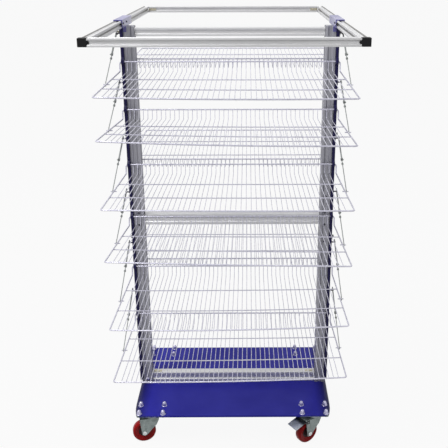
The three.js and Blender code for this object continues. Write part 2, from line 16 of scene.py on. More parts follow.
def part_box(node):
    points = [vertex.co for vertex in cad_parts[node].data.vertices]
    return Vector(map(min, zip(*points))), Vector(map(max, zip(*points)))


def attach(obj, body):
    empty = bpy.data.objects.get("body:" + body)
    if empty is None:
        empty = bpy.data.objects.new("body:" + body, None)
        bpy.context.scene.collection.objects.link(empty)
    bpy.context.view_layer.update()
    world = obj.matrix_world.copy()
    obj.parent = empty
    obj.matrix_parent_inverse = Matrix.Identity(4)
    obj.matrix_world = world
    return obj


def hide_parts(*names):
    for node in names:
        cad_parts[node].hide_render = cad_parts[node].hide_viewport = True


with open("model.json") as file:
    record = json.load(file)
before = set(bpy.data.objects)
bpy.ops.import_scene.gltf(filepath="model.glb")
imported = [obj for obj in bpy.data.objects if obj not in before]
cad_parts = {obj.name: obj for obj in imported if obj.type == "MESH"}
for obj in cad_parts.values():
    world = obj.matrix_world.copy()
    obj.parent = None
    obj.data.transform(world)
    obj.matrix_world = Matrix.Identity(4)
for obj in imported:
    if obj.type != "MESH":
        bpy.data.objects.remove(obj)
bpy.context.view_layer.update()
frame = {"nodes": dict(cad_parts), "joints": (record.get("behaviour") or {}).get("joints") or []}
nodes = frame["nodes"]
joints = {joint["name"]: joint for joint in frame["joints"]}
MM = 0.001
ROOT = "frame"
CORNERS = ("front_left", "front_right", "rear_left", "rear_right")
SIDES = ("left", "right")
OUTWARD = {"left": Vector((-1, 0, 0)), "right": Vector((1, 0, 0))}


def new_object(name, data):
    made = bpy.data.objects.new(name, data)
    bpy.context.scene.collection.objects.link(made)
    return made


print("nodes loaded:", len(nodes), "joints:", len(joints))

# %% [markdown]
# ## Camera
# The photograph was taken from standing eye height, a little to the right of the middle, looking down
# about twenty degrees. A camera object's own axes are right, up and backwards, so they are worked out
# from the pitch, yaw and roll of the view and set as the columns of its matrix. The picture is an
# off-centre crop, so the lens is shifted a little, as on a view camera.

# %% Place the camera
CAMERA_PLACE = Vector((0.0533, -2.2241, 1.5030))
CAMERA_PITCH = 0.347
CAMERA_YAW = 0.0054
CAMERA_ROLL = -0.001
CAMERA_LENS_MM = 59.0
SENSOR_MM = 36
CAMERA_SHIFT = (-0.0632, -0.0092)

look = Vector((math.sin(CAMERA_YAW) * math.cos(CAMERA_PITCH),
               math.cos(CAMERA_YAW) * math.cos(CAMERA_PITCH), -math.sin(CAMERA_PITCH)))
level_right = Vector((math.cos(CAMERA_YAW), -math.sin(CAMERA_YAW), 0))
level_up = level_right.cross(look)
right = level_right * math.cos(CAMERA_ROLL) + level_up * math.sin(CAMERA_ROLL)
up = level_up * math.cos(CAMERA_ROLL) - level_right * math.sin(CAMERA_ROLL)

camera_data = bpy.data.cameras.new("photo_camera")
camera_data.lens = CAMERA_LENS_MM
camera_data.sensor_width = SENSOR_MM
camera_data.clip_end = 100
camera_data.shift_x, camera_data.shift_y = CAMERA_SHIFT
camera = new_object("photo_camera", camera_data)
camera.matrix_world = Matrix.Translation(CAMERA_PLACE) @ Matrix((right, up, -look)).transposed().to_4x4()
bpy.context.scene.camera = camera
print("camera at", tuple(round(c, 3) for c in CAMERA_PLACE))

# %% [markdown]
# ## Node helpers
# A material is a small graph. Most of the graphs below have the same few parts, so a helper adds a
# node with its settings and its inputs in one line. Patterns read Object coordinates, which are metres
# here, because every piece sits at the origin with its place in its mesh.


# %% Helpers for materials
def feed(tree, node, inputs):
    """Fills inputs of a node, by name or by number. A socket is linked, and a plain value is set."""
    for key, value in inputs.items():
        if isinstance(value, bpy.types.NodeSocket):
            tree.links.new(value, node.inputs[key])
        else:
            node.inputs[key].default_value = value


def add_node(tree, kind, inputs=None, **settings):
    node = tree.nodes.new(kind)
    for name, value in settings.items():
        setattr(node, name, value)
    feed(tree, node, inputs or {})
    return node


def add_noise(tree, place, scale, detail, roughness):
    inputs = {"Vector": place, "Scale": scale, "Detail": detail, "Roughness": roughness}
    return add_node(tree, "ShaderNodeTexNoise", inputs).outputs["Fac"]


def add_range(tree, value, low, high, from_low=0.0, from_high=1.0):
    inputs = {"Value": value, "From Min": from_low, "From Max": from_high, "To Min": low, "To Max": high}
    return add_node(tree, "ShaderNodeMapRange", inputs).outputs["Result"]


def add_mix(tree, factor, first, second):
    """Mixes two colours, each a socket or four numbers."""
    node = add_node(tree, "ShaderNodeMix", {"Factor": factor}, data_type="RGBA")
    colours = [number for number, socket in enumerate(node.inputs) if socket.type == "RGBA"]
    feed(tree, node, dict(zip(colours, (first, second))))
    return next(s for s in node.outputs if s.type == "RGBA")


def add_math(tree, operation, *values):
    return add_node(tree, "ShaderNodeMath", dict(enumerate(values)), operation=operation).outputs[0]


def linear(red, green, blue):
    """A colour as written on a screen, 0 to 255, as Blender's linear numbers."""
    def one(level):
        share = level / 255
        return share / 12.92 if share <= 0.04045 else ((share + 0.055) / 1.055) ** 2.4
    return (one(red), one(green), one(blue), 1.0)


print("mid grey is", round(linear(128, 128, 128)[0], 3))

# %% [markdown]
# ## Shared effects
# Three effects come back in most finishes. Drawn metal has fine lines along its length, handled metal
# has soft cloudy patches, and paint has a shallow orange peel. Each is a node group with named sockets,
# made once, so a finish only says how strong it is.


# %% Node groups
FLOAT, COLOUR, VECTOR = "NodeSocketFloat", "NodeSocketColor", "NodeSocketVector"
METAL_INPUTS = {"Place": VECTOR, "Colour": COLOUR, "Rough low": FLOAT, "Rough high": FLOAT}
METAL_OUTPUTS = {"Colour": COLOUR, "Roughness": FLOAT, "Height": FLOAT}


def new_group(name, inputs, outputs):
    """A new group, with the sockets that it is given and the node that takes its results."""
    group = bpy.data.node_groups.new(name, "ShaderNodeTree")
    for way, sockets in (("INPUT", inputs), ("OUTPUT", outputs)):
        for socket, kind in sockets.items():
            group.interface.new_socket(socket, in_out=way, socket_type=kind)
    return group, add_node(group, "NodeGroupInput").outputs, add_node(group, "NodeGroupOutput")


def put_out(group, given, end, colour, rough, height):
    """Fills a metal group's results. The roughness runs from its low to its high with a value."""
    spread = add_range(group, rough, given["Rough low"], given["Rough high"])
    feed(group, end, {"Colour": colour, "Roughness": spread, "Height": height})


def make_drawn_lines():
    """Fine lines along one axis: Place is squeezed along the length before the noise."""
    group, given, end = new_group("drawn_lines", {**METAL_INPUTS, "Dark": COLOUR}, METAL_OUTPUTS)
    lines = add_noise(group, given["Place"], scale=900.0, detail=4.0, roughness=0.6)
    bands = add_noise(group, given["Place"], scale=110.0, detail=2.0, roughness=0.5)
    shade = add_range(group, bands, 0.0, 1.0, from_low=0.3, from_high=0.7)
    colour = add_mix(group, shade, given["Dark"], given["Colour"])
    put_out(group, given, end, colour, lines, lines)
    return group


def make_cloudy():
    """Soft patches between two colours, with roughness that follows them."""
    group, given, end = new_group("cloudy", {**METAL_INPUTS, "Scale": FLOAT, "Patch": COLOUR}, METAL_OUTPUTS)
    noise = add_noise(group, given["Place"], given["Scale"], detail=4.0, roughness=0.5)
    patches = add_range(group, noise, 0.0, 1.0, from_low=0.35, from_high=0.68)
    colour = add_mix(group, patches, given["Colour"], given["Patch"])
    put_out(group, given, end, colour, patches, noise)
    return group


def make_orange_peel():
    """The shallow dimples of sprayed paint or moulded plastic, as a height."""
    group, given, end = new_group("orange_peel", {"Place": VECTOR, "Scale": FLOAT}, {"Height": FLOAT})
    inputs = {"Vector": given["Place"], "Scale": given["Scale"]}
    cells = add_node(group, "ShaderNodeTexVoronoi", inputs, feature="SMOOTH_F1")
    feed(group, end, {"Height": cells.outputs["Distance"]})
    return group


drawn_lines = make_drawn_lines()
cloudy = make_cloudy()
orange_peel = make_orange_peel()
print("groups:", [g.name for g in (drawn_lines, cloudy, orange_peel)])

# %% [markdown]
# ## Finishes
# The aluminium is a satin extrusion with draw lines along each bar, so one finish is made for each
# direction. The posts' finish is darker and faintly blue, painted shade from the shelves with a painted
# reflection of the blue parts, and the side tubes carry painted shade along the top and in the groove.
# The shelves are bright zinc wire, the castors a greyer zinc, the platform and the side strips blue paint,
# and the wheels red polyurethane. The strips' blue is a darker copy, painted shade, and the saddles' a
# lighter lavender copy, a painted sheen; the platform has painted shade where its sides roll down, and the
# pedal where it sits under the platform. Small fittings are yellow zinc, brass or dark steel. Every
# constant goes straight onto the Principled shader, and only what varies is linked.


# %% Build the finishes
METAL_SHARE = 0.35
PAINT_PATCHES = 9.0


def new_finish(name, metallic, specular=0.5, coat=0.0):
    material = bpy.data.materials.new(name)
    material.use_nodes = True
    tree = material.node_tree
    shader = tree.nodes["Principled BSDF"]
    feed(tree, shader, {"Metallic": metallic, "Specular IOR Level": specular, "Coat Weight": coat})
    place = add_node(tree, "ShaderNodeTexCoord").outputs["Object"]
    return material, tree, shader, place


def add_bump(tree, shader, height, strength, distance):
    bump = add_node(tree, "ShaderNodeBump", {"Strength": strength, "Distance": distance, "Height": height})
    feed(tree, shader, {"Normal": bump.outputs["Normal"]})


def add_band(tree, value, low, high, soft):
    """One where a value lies between two levels, falling to nought over a soft width."""
    rise = add_range(tree, value, 0.0, 1.0, low - soft, low)
    fall = add_range(tree, value, 1.0, 0.0, high, high + soft)
    return add_math(tree, "MULTIPLY", rise, fall)


def add_axes(tree, place):
    """How far a point is from the middle plane, and how high it is."""
    parts = add_node(tree, "ShaderNodeSeparateXYZ", {0: place})
    return add_math(tree, "ABSOLUTE", parts.outputs["X"]), parts.outputs["Z"]


def add_metal(tree, shader, place, group, inputs, rough, shade):
    """Colours a shader by a metal group. A shade is a function that says where, and the tone there."""
    node = add_node(tree, "ShaderNodeGroup", node_tree=group)
    feed(tree, node, {**inputs, "Rough low": rough[0], "Rough high": rough[1]})
    tone = node.outputs["Colour"]
    if shade:
        where, shade_tone = shade
        tone = add_mix(tree, where(tree, place), tone, linear(*shade_tone))
    feed(tree, shader, {"Base Color": tone, "Roughness": node.outputs["Roughness"]})
    return node.outputs["Height"]


def add_clouds(tree, shader, place, scale, colour, patch, rough, shade):
    inputs = {"Place": place, "Scale": scale, "Colour": linear(*colour), "Patch": linear(*patch)}
    return add_metal(tree, shader, place, cloudy, inputs, rough, shade)


def extruded_finish(name, squeeze, colour, dark, shade=None):
    material, tree, shader, place = new_finish(name, METAL_SHARE)
    mapping = add_node(tree, "ShaderNodeMapping", {"Scale": squeeze, "Vector": place})
    inputs = {"Place": mapping.outputs["Vector"], "Colour": linear(*colour), "Dark": linear(*dark)}
    height = add_metal(tree, shader, place, drawn_lines, inputs, (0.26, 0.44), shade)
    add_bump(tree, shader, height, strength=0.12, distance=0.2 * MM)
    return material


def cloudy_finish(name, colour, patch, scale, rough, metallic, shade=None):
    material, tree, shader, place = new_finish(name, metallic)
    height = add_clouds(tree, shader, place, scale, colour, patch, rough, shade)
    add_bump(tree, shader, height, strength=0.08, distance=0.3 * MM)
    return material


def peel_finish(name, colour, patch, rough, peel_scale, bump, coat=0.0, specular=0.5, shade=None):
    material, tree, shader, place = new_finish(name, 0.0, specular, coat)
    add_clouds(tree, shader, place, PAINT_PATCHES, colour, patch, rough, shade)
    peel = add_node(tree, "ShaderNodeGroup", node_tree=orange_peel)
    feed(tree, peel, {"Place": place, "Scale": peel_scale})
    add_bump(tree, shader, peel.outputs["Height"], bump, distance=0.2 * MM)
    return material


TOP_SHADE_ACROSS = (319.0 * MM, 323.6 * MM)
TOP_SHADE_LEVELS = (1325.8 * MM, 1340 * MM)
TOP_SHADE_SOFT = 0.8 * MM
GROOVE_SHADE_LEVELS = (1315.2 * MM, 1318.4 * MM)
GROOVE_SHADE_SOFT = 1.2 * MM
ROLLED_SHADE_FROM, ROLLED_SHADE_TO = 274 * MM, 316 * MM
ROOT_SHADE_FROM, ROOT_SHADE_TO = 58 * MM, 68 * MM


def side_tube_painted_shade(tree, place):
    """Painted shade: a dark line along the top of a side tube near its outer edge, and another along the
    groove of its inner and outer face.
    """
    across, height = add_axes(tree, place)
    slot = add_math(tree, "MULTIPLY", add_band(tree, across, *TOP_SHADE_ACROSS, TOP_SHADE_SOFT),
                    add_band(tree, height, *TOP_SHADE_LEVELS, TOP_SHADE_SOFT))
    return add_math(tree, "MAXIMUM", slot, add_band(tree, height, *GROOVE_SHADE_LEVELS, GROOVE_SHADE_SOFT))


def rolled_side_shade(tree, place):
    """Painted shade: the platform's blue darkens towards its long sides, where they roll down away from the
    light.
    """
    return add_range(tree, add_axes(tree, place)[0], 0.0, 1.0, ROLLED_SHADE_FROM, ROLLED_SHADE_TO)


def pedal_root_shade(tree, place):
    """Painted shade: the pedal is darker near the fork, where it lies in the shadow under the platform."""
    swivel, axle = (Vector(joints[f"front_right_castor_{name}"]["pos_m"]) for name in ("swivel", "roll"))
    trail = (axle - swivel).to_2d().normalized()
    along = add_node(tree, "ShaderNodeVectorMath", {0: place, 1: (*trail, 0)}, operation="DOT_PRODUCT")
    start = swivel.to_2d().dot(trail)
    return add_range(tree, along.outputs["Value"], 1.0, 0.0, start + ROOT_SHADE_FROM, start + ROOT_SHADE_TO)


ALONG = 0.02
TUBE_TONES = ((220, 220, 221), (202, 202, 203))
# The posts are the same aluminium as the tubes, with a darker, faintly blue tone: painted shade from the
# shelves above and a painted reflection of the blue parts.
POST_SHADED_TONES = ((170, 170, 177), (146, 146, 153))
aluminium_x = extruded_finish("aluminium_along_x", (ALONG, 1, 1), *TUBE_TONES)
# The side tubes take painted shade, a dark grey, along the top near the outer edge and in the groove.
aluminium_y = extruded_finish("aluminium_along_y", (1, ALONG, 1), *TUBE_TONES,
                              (side_tube_painted_shade, (88, 86, 82)))
shaded_post_aluminium = extruded_finish("shaded_aluminium_along_z", (1, 1, ALONG), *POST_SHADED_TONES)
bright_wire = cloudy_finish("bright_zinc_wire", (214, 213, 226), (188, 187, 202), 120.0, (0.2, 0.36), 0.4)
stay_zinc = cloudy_finish("stay_zinc", (170, 173, 172), (132, 136, 134), 200.0, (0.25, 0.4), 0.5)
castor_zinc = cloudy_finish("castor_zinc", (148, 158, 156), (114, 124, 123), 70.0, (0.2, 0.34), 0.5)
# The pedal gets painted shade, near black, at its root under the platform.
pedal_zinc = cloudy_finish("pedal_zinc", (200, 206, 214), (168, 176, 184), 60.0, (0.18, 0.3), 0.5,
                           shade=(pedal_root_shade, (45, 48, 52)))
axle_zinc = cloudy_finish("axle_zinc", (226, 230, 230), (190, 196, 196), 150.0, (0.14, 0.26), 0.6)
yellow_zinc = cloudy_finish("yellow_zinc", (206, 200, 180), (178, 172, 150), 160.0, (0.2, 0.38), 0.5)
dark_brass = cloudy_finish("dark_brass", (92, 86, 58), (62, 58, 40), 200.0, (0.3, 0.5), 0.6)
dark_steel = cloudy_finish("dark_steel", (72, 70, 80), (48, 46, 56), 200.0, (0.28, 0.45), 0.6)
dome_zinc = cloudy_finish("dome_nut_zinc", (206, 204, 226), (172, 170, 198), 150.0, (0.12, 0.25), 0.6)
# The platform's blue gets painted shade, a dark navy, towards its rolled long sides.
blue_paint = peel_finish("blue_paint", (44, 44, 155), (39, 39, 144), (0.36, 0.46), 650.0, 0.05,
                         specular=0.1, shade=(rolled_side_shade, (15, 15, 66)))
# The side strips are the same blue paint as the platform, darkened to navy: painted shade on their sideways
# faces.
shaded_strip_paint = peel_finish("shaded_strip_paint", (24, 20, 72), (20, 16, 60), (0.34, 0.46), 650.0, 0.05,
                          specular=0.2)
# The saddles are the same blue paint, lightened to lavender: a painted sheen of the white room, with a clear
# coat on top.
saddle_paint_with_painted_sheen = peel_finish("saddle_paint_with_painted_sheen", (92, 88, 160), (76, 72, 142), (0.26, 0.36), 650.0, 0.03,
                           coat=0.3)
red_tyre = peel_finish("red_polyurethane", (148, 5, 8), (118, 3, 5), (0.32, 0.45), 900.0, 0.04,
                       specular=0.15)
black_block = peel_finish("black_moulding", (12, 12, 14), (20, 20, 23), (0.45, 0.6), 1400.0, 0.2,
                          specular=0.2)
dark_hub = peel_finish("dark_hub", (40, 14, 14), (28, 11, 11), (0.5, 0.65), 1200.0, 0.15, specular=0.2)
print("finishes:", len(bpy.data.materials))

# %% [markdown]
# ## Finish the solids that keep their own mesh
# The posts, bars, tubes, strips, saddles, pedal and end blocks have the right shape already. Each gets its
# finish, and a small live bevel so that its edges catch light. The loaded mesh is loose triangles, so a
# Weld modifier joins them before the Bevel.


# %% Dress the kept solids
EDGE_ROUNDING = 0.5 * MM
BLOCK_ROUNDING = 1.2 * MM
BEVEL_FROM = math.radians(40)
WELD_WITHIN = 0.02 * MM


def soften(piece, rounding):
    bevel = piece.modifiers.new("soft_edges", "BEVEL")
    bevel.width = rounding
    bevel.segments = 2
    bevel.limit_method = "ANGLE"
    bevel.angle_limit = BEVEL_FROM


def dress(node, finish, rounding=EDGE_ROUNDING):
    piece = nodes[node]
    piece.data.materials.clear()
    piece.data.materials.append(finish)
    weld = piece.modifiers.new("weld", "WELD")
    weld.merge_threshold = WELD_WITHIN
    soften(piece, rounding)


KEPT = (
    (shaded_post_aluminium, "aluminium", ("left_post", "right_post")),
    (aluminium_x, "aluminium", ("top_bar", "middle_bar", "base_bar", "frame_front_tube", "frame_rear_tube")),
    (aluminium_y, "aluminium", ("frame_left_tube", "frame_right_tube")),
    (shaded_strip_paint, "blue_steel", ("left_side_plate", "right_side_plate")),
    (saddle_paint_with_painted_sheen, "blue_steel", ("left_saddle", "right_saddle")),
    (pedal_zinc, "zinc", ("front_right_brake_pedal",)),
)
for finish, slot, names in KEPT:
    for node in names:
        dress(node, finish)
for node in ("left_end_block", "right_end_block"):
    dress(node, black_block, BLOCK_ROUNDING)
print("kept solids dressed")

# %% [markdown]
# ## Making a piece
# Every new piece is shaped in a bmesh, then turned into one object at the origin. Doubles are merged
# and the normals made to point outwards before the mesh is written, because a spin can turn a shape
# inside out. The piece then rides on the body that carries it on the real rack.


# %% Helpers for pieces
SMOOTH_ANGLE = math.radians(38)
DOUBLES_WITHIN = 0.002 * MM


def new_mesh_object(name, shape):
    mesh = bpy.data.meshes.new(name)
    shape.to_mesh(mesh)
    shape.free()
    return new_object(name, mesh)


def new_piece(name, shape, finish, body, stands_for=()):
    bmesh.ops.remove_doubles(shape, verts=shape.verts[:], dist=DOUBLES_WITHIN)
    bmesh.ops.recalc_face_normals(shape, faces=shape.faces[:])
    piece = new_mesh_object(name, shape)
    piece.data.materials.append(finish)
    piece.data.shade_smooth()
    piece.data.set_sharp_from_angle(angle=SMOOTH_ANGLE)
    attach(piece, body)
    if stands_for:
        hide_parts(*stands_for)
    return piece


def edges_of(verts):
    return list({edge for vert in verts for edge in vert.link_edges})


def verts_of(edges):
    return list({vert for edge in edges for vert in edge.verts})


def everything(shape):
    return shape.verts[:] + shape.edges[:] + shape.faces[:]


def put_at(shape, place):
    bmesh.ops.transform(shape, matrix=place, verts=shape.verts[:])


def extruded(made, kind):
    return [part for part in made if isinstance(part, kind)]


def run_on(shape, ring, step):
    """Pulls an open ring of edges along a step and returns the new ring."""
    made = bmesh.ops.extrude_edge_only(shape, edges=ring)["geom"]
    moved = extruded(made, bmesh.types.BMVert)
    bmesh.ops.translate(shape, verts=moved, vec=step)
    return [e for e in extruded(made, bmesh.types.BMEdge) if e.verts[0] in moved and e.verts[1] in moved]


def turn_on(shape, ring, centre, axis, angle, steps):
    """Swings an open ring round an axis and returns the ring at the far end."""
    ends = verts_of(ring)
    made = bmesh.ops.spin(shape, geom=ring + ends, cent=centre, axis=axis, angle=angle, steps=steps,
                          use_merge=False, use_duplicate=False)
    return extruded(made["geom_last"], bmesh.types.BMEdge)


def wire(shape, points, radius, corner=0, sides=8, steps=4, closed=False):
    """A round wire along a line, with each corner bent to a radius."""
    points = [Vector(p) for p in points]
    heading = (points[1] - points[0]).normalized()
    facing = Vector((0, 0, 1)).rotation_difference(heading).to_matrix().to_4x4()
    rim = bmesh.ops.create_circle(shape, cap_ends=not closed, radius=radius, segments=sides,
                                  matrix=Matrix.Translation(points[0]) @ facing)
    ring = edges_of(rim["verts"])
    here = points[0]
    for before, bend, after in zip(points, points[1:], points[2:]):
        inward = (bend - before).normalized()
        outward = (after - bend).normalized()
        turn = inward.angle(outward)
        cut = corner * math.tan(turn / 2)
        ring = run_on(shape, ring, bend - inward * cut - here)
        side = (outward - inward * inward.dot(outward)).normalized()
        centre = bend - inward * cut + side * corner
        ring = turn_on(shape, ring, centre, inward.cross(outward).normalized(), turn, steps)
        here = bend + outward * cut
    ring = run_on(shape, ring, points[-1] - here)
    if not closed:
        bmesh.ops.edgeloop_fill(shape, edges=ring)


def lathe(shape, profile, centre, axis, steps):
    """Turns a line of (radius, along) points, in millimetres, round an axis through a centre."""
    facing = Vector((0, 0, 1)).rotation_difference(Vector(axis)).to_matrix()
    line = [shape.verts.new(Vector(centre) + facing @ Vector((radius * MM, 0, along * MM)))
            for radius, along in profile]
    edges = [shape.edges.new(pair) for pair in zip(line, line[1:])]
    bmesh.ops.spin(shape, geom=line + edges, cent=centre, axis=axis, angle=math.tau, steps=steps,
                   use_merge=True, use_duplicate=False)


def hexagon(shape, radius, depth, place):
    bmesh.ops.create_cone(shape, cap_ends=True, segments=6, radius1=radius, radius2=radius, depth=depth,
                          matrix=place)


def plain_box(shape, low, high):
    place = Matrix.Translation((low + high) / 2) @ Matrix.Diagonal((*(high - low), 1))
    return bmesh.ops.create_cube(shape, size=1.0, matrix=place)["verts"]


def round_off(shape, edges, rounding, segments):
    bmesh.ops.bevel(shape, geom=edges, offset=rounding, offset_type="OFFSET", affect="EDGES",
                    segments=segments, profile=0.5, material=-1, clamp_overlap=True)


def soft_box(shape, low, high, rounding, segments=2):
    """A box between two corners with rounded edges."""
    round_off(shape, edges_of(plain_box(shape, Vector(low), Vector(high))), rounding, segments)


print("piece helpers ready")

# %% [markdown]
# ## Wire shelves
# A real shelf is one thick rod bent into a frame, with a row of thinner wires welded across it. The
# cross wires hang on the hinge rod, drop, bend and run to the front, on top of two long rods. One
# cross wire is drawn and then copied along the shelf, and the finished shelf is copied to every place.
# Planes between cross wires cut the long wires into lengths, so that they can hang in a curve later.

# %% Draw one shelf with its hinge at the origin
SHELF_HALF = 325 * MM
SHELF_REACH = 419 * MM
BEND_REACH = 5 * MM
BEND_DROP = 28 * MM
FRONT_DROP = 10 * MM
FRAME_RADIUS = 2.1 * MM
CROSS_RADIUS = 1.0 * MM
LONG_RADIUS = 1.6 * MM
LONG_REACHES = (134 * MM, 285 * MM)
PEG_REACH = 212 * MM
PEG_DROP = 22.5 * MM
PEG_RADIUS = 1.75 * MM
PEG_INSIDE = 6 * MM
PEG_OUTSIDE = 11 * MM
CROSS_WIRES = 46
CROSS_MARGIN = 22 * MM
CROSS_SINK = 0.5 * MM
FRAME_CORNER, CROSS_CORNER = 7 * MM, 8 * MM
WELD_DEPTH = 0.2 * MM
CUT_GAPS = range(4, CROSS_WIRES - 1, 6)


def floor_height(reach):
    return -BEND_DROP + (reach - BEND_REACH) / (SHELF_REACH - BEND_REACH) * (BEND_DROP - FRONT_DROP)


def draw_shelf():
    shape = bmesh.new()
    h = SHELF_HALF
    wire(shape, [(0, 0, 0), (h, 0, 0), (h, -BEND_REACH, -BEND_DROP), (h, -SHELF_REACH, -FRONT_DROP),
                 (-h, -SHELF_REACH, -FRONT_DROP), (-h, -BEND_REACH, -BEND_DROP), (-h, 0, 0), (0, 0, 0)],
         FRAME_RADIUS, FRAME_CORNER, sides=10, closed=True)
    before = set(shape.verts)
    first = -SHELF_HALF + CROSS_MARGIN
    wire(shape, [(first, 0, -CROSS_SINK), (first, -BEND_REACH, -BEND_DROP),
                 (first, -SHELF_REACH, -FRONT_DROP)],
         CROSS_RADIUS, CROSS_CORNER, sides=6, steps=3)
    cross = [v for v in shape.verts if v not in before]
    parts = cross + edges_of(cross) + list({face for vert in cross for face in vert.link_faces})
    pitch = 2 * (SHELF_HALF - CROSS_MARGIN) / (CROSS_WIRES - 1)
    for i in range(1, CROSS_WIRES):
        made = bmesh.ops.duplicate(shape, geom=parts)["geom"]
        bmesh.ops.translate(shape, verts=extruded(made, bmesh.types.BMVert), vec=(i * pitch, 0, 0))
    for reach in LONG_REACHES:
        height = floor_height(reach) - CROSS_RADIUS - LONG_RADIUS + WELD_DEPTH
        wire(shape, [(-h, -reach, height), (h, -reach, height)], LONG_RADIUS)
    for side in (-1, 1):
        ends = [(side * x, -PEG_REACH, -PEG_DROP) for x in (h - PEG_INSIDE, h + PEG_OUTSIDE)]
        wire(shape, ends, PEG_RADIUS)
    for gap in CUT_GAPS:
        bmesh.ops.bisect_plane(shape, geom=everything(shape),
                               plane_co=(first + (gap + 0.5) * pitch, 0, 0), plane_no=(1, 0, 0))
    return shape


shelf_shape = draw_shelf()
print("one shelf:", len(shelf_shape.faces), "faces")

# %% [markdown]
# Each shelf hangs at its own slight tilt, and the front ones are twisted too: a stay on one side may sit a
# little higher than on the other. The solid model's joints say where every stay is pinned to its shelf, so
# the tilt of each side is worked out from them, and the copy is turned about its hinge by an angle that runs
# from one side to the other. The long wires of the front shelves also hang a little in the middle. The rear
# has shelves at every second height only, which face the other way.

# %% Hang the shelves
FACE_TURNS = {"front": 0.0, "rear": math.pi}
FRONT_SAGS = {1: 3 * MM, 2: 4 * MM, 3: 1.5 * MM, 4: 2 * MM, 5: 6 * MM, 6: 5 * MM}
shelf_places = [(face, number) for face in FACE_TURNS for number in range(1, 7)
                if f"{face}_shelf_{number}" in nodes]


def joint_place(name):
    return Vector(joints[name]["pos_m"])


def side_tilt(face, side, number):
    """How far one side of a shelf is lifted, from where its stay is pinned."""
    arm = joint_place(f"{face}_{side}_stay_{number}_pivot") - joint_place(f"{face}_shelf_{number}_hinge")
    return math.atan2(arm.z, abs(arm.y)) + math.atan2(PEG_DROP, PEG_REACH)


def sag(shape, depth):
    """Lowers the middle of a shelf, most at its front. Its hinge and its two sides stay."""
    for vert in shape.verts:
        across = max(0.0, 1 - (vert.co.x / SHELF_HALF) ** 2)
        vert.co.z += depth * across * vert.co.y / SHELF_REACH


def twist(shape, left, right):
    """Turns every part of a shelf about its hinge, from one angle at the left to another at the right."""
    for vert in shape.verts:
        share = (vert.co.x / SHELF_HALF + 1) / 2
        vert.co = Matrix.Rotation(-(left + (right - left) * share), 3, "X") @ vert.co


for face, number in shelf_places:
    name = f"{face}_shelf_{number}"
    shape = shelf_shape.copy()
    if face == "front":
        sag(shape, FRONT_SAGS[number])
    twist(shape, side_tilt(face, "left", number), side_tilt(face, "right", number))
    place = Matrix.Translation(joint_place(f"{name}_hinge")) @ Matrix.Rotation(FACE_TURNS[face], 4, "Z")
    put_at(shape, place)
    new_piece(f"{name}_wires", shape, bright_wire, name, [name])
shelf_shape.free()
print("shelves hung:", len(shelf_places))

# %% [markdown]
# ## Stays
# A stay is thin wire. Its lower end is an eye round the shelf's peg, and its upper part is a long
# hairpin that slides on a pin, closed by a few turns of wire. A short cross pin sits at that knot. The
# stay is drawn along +Y with the eye at the origin, as the solid one is, then turned to point from the
# peg to its pin.

# %% Draw a stay
STAY_RADIUS = 1.4 * MM
PIN_Y = 27 * MM
PIN_RISE = 81 * MM
HAIRPIN_HALF = 4.1 * MM
HAIRPIN_SHARE = 0.44
EYE_RADIUS = 3.85 * MM
KNOT_TURNS = 3
KNOT_PIN = (-3.5 * MM, 5.5 * MM)
KNOT_PIN_RADIUS, KNOT_PIN_RISE = 1.6 * MM, 2 * MM
COIL_PITCH = 2.6 * MM
KNOT_SINK, LOWER_COIL_SINK = 1 * MM, 20 * MM
SHANK_OVERLAP = 6 * MM
HAIRPIN_BEND = HAIRPIN_HALF * 0.98
EYE_BEND, EYE_RISE = EYE_RADIUS * 0.85, EYE_RADIUS * 0.6
COIL_WIRE, KNOT_COIL, LOWER_COIL = STAY_RADIUS * 0.8, HAIRPIN_HALF * 0.72, STAY_RADIUS * 1.7
LOWER_TURNS = 2


def coil(shape, along, radius, turns, pitch):
    """A few turns of wire round the Y axis, from a circle swung with a step along it."""
    rim = bmesh.ops.create_circle(shape, cap_ends=True, radius=COIL_WIRE, segments=6,
                                  matrix=Matrix.Translation((radius, along, 0)))
    ring = edges_of(rim["verts"])
    ends = verts_of(ring)
    steps = 8 * turns
    made = bmesh.ops.spin(shape, geom=ring + ends, cent=(0, along, 0), axis=(0, 1, 0), angle=turns * math.tau,
                          steps=steps, dvec=(0, pitch * turns / steps, 0), use_merge=False)
    bmesh.ops.edgeloop_fill(shape, edges=extruded(made["geom_last"], bmesh.types.BMEdge))


def draw_stay(length):
    shape = bmesh.new()
    knot = length * (1 - HAIRPIN_SHARE)
    half = HAIRPIN_HALF
    wire(shape, [(0, knot, half), (0, length + half, half), (0, length + half, -half), (0, knot, -half)],
         STAY_RADIUS, HAIRPIN_BEND, steps=6)
    around = EYE_RADIUS
    wire(shape, [(0, knot + SHANK_OVERLAP, 0), (0, -around, EYE_RISE), (0, -around, -around),
                 (0, around, -around), (0, around, 0)], STAY_RADIUS, EYE_BEND, steps=5)
    coil(shape, knot - KNOT_SINK, KNOT_COIL, KNOT_TURNS, COIL_PITCH)
    coil(shape, knot - LOWER_COIL_SINK, LOWER_COIL, LOWER_TURNS, COIL_PITCH)
    return shape


def stay_line(face, side, number):
    """The peg end and the pin end of a stay, from the joints of the solid model."""
    peg = joint_place(f"{face}_{side}_stay_{number}_pivot")
    hinge = joint_place(f"{face}_shelf_{number}_hinge")
    return peg, Vector((peg.x, PIN_Y if face == "rear" else -PIN_Y, hinge.z + PIN_RISE))


stay_places = [(face, side, number) for face, number in shelf_places for side in SIDES]
stay_length = max((pin - peg).length for peg, pin in (stay_line(*place) for place in stay_places))
stay_shape = draw_stay(stay_length)
print("stay length mm:", round(stay_length * 1000, 1), "faces:", len(stay_shape.faces))

